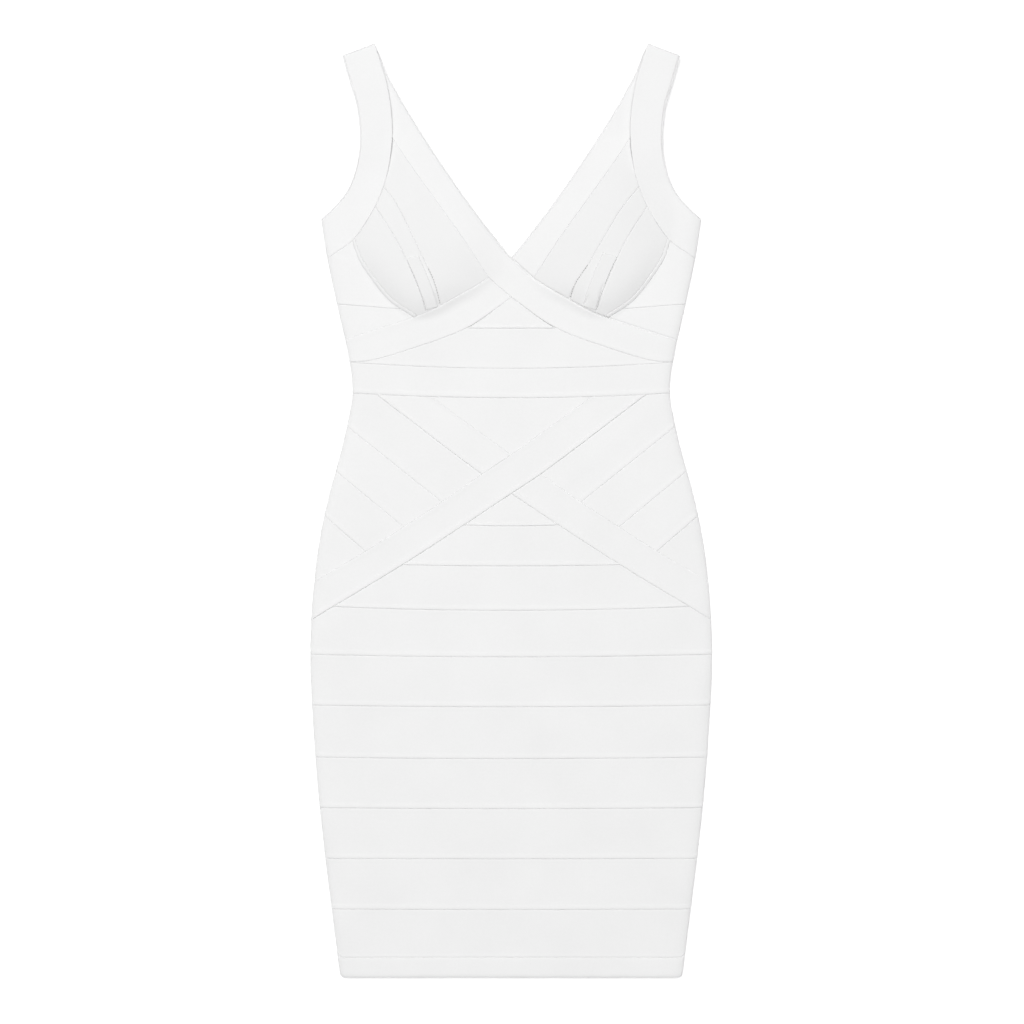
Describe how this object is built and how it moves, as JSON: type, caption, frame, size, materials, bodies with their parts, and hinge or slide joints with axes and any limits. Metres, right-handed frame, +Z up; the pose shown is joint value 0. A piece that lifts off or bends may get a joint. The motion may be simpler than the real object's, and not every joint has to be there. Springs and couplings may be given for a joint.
{
  "type": "bodycon dress",
  "caption": "Sleeveless knee-length bodycon dress of bandage-knit strips, laid flat: V neck with crossing bands, seamed cups, waistband, crossing hip bands and level skirt bands.",
  "frame": {"origin": "middle of the dress on the surface that it lies on", "axes": "+X to the right as seen from above with the shoulders at the top, +Y from the hem up to the shoulders, +Z up from the surface out of the front"},
  "size_m": [0.387, 0.8996, 0.0193],
  "materials": {
    "bandage_knit": "matte white rib knit",
    "cup_knit": "matte white rib knit over a moulded cup",
    "back_knit": "matte white rib knit"
  },
  "bodies": {
    "root": {"armhole_band_left": "bandage_knit", "armhole_band_right": "bandage_knit", "neck_band_over": "bandage_knit", "neck_band_right": "bandage_knit", "underbust_band_left": "bandage_knit", "cup_inner_left": "cup_knit", "cup_strip_left": "cup_knit", "cup_outer_left": "cup_knit", "cup_piping_left": "cup_knit", "cup_tab_left": "cup_knit", "cup_inner_right": "cup_knit", "cup_strip_right": "cup_knit", "cup_outer_right": "cup_knit", "cup_piping_right": "cup_knit", "cup_tab_right": "cup_knit", "side_upper_left": "bandage_knit", "side_lower_left": "bandage_knit", "side_upper_right": "bandage_knit", "side_lower_right": "bandage_knit", "midriff_upper": "bandage_knit", "midriff_lower": "bandage_knit", "waistband": "bandage_knit", "yoke_triangle": "bandage_knit", "cross_band_over": "bandage_knit", "cross_band_under_upper": "bandage_knit", "cross_band_under_lower": "bandage_knit", "diagonal_band_1_left": "bandage_knit", "diagonal_band_2_left": "bandage_knit", "diagonal_band_3_left": "bandage_knit", "diagonal_band_4_left": "bandage_knit", "diagonal_band_1_right": "bandage_knit", "diagonal_band_2_right": "bandage_knit", "diagonal_band_3_right": "bandage_knit", "diagonal_band_4_right": "bandage_knit", "centre_band_1": "bandage_knit", "centre_band_2": "bandage_knit", "centre_band_3": "bandage_knit", "skirt_band_1": "bandage_knit", "skirt_band_2": "bandage_knit", "skirt_band_3": "bandage_knit", "skirt_band_4": "bandage_knit", "skirt_band_5": "bandage_knit", "skirt_band_6": "bandage_knit", "skirt_band_7": "bandage_knit", "back_armhole_band_left": "back_knit", "back_armhole_band_right": "back_knit", "back_neck_band_left": "back_knit", "back_neck_band_right": "back_knit", "back_bodice": "back_knit", "back_waistband": "back_knit", "back_hip": "back_knit", "back_skirt_band_2": "back_knit", "back_skirt_band_3": "back_knit", "back_skirt_band_4": "back_knit", "back_skirt_band_5": "back_knit", "back_skirt_band_6": "back_knit", "back_skirt_band_7": "back_knit"}
  },
  "joints": []
}
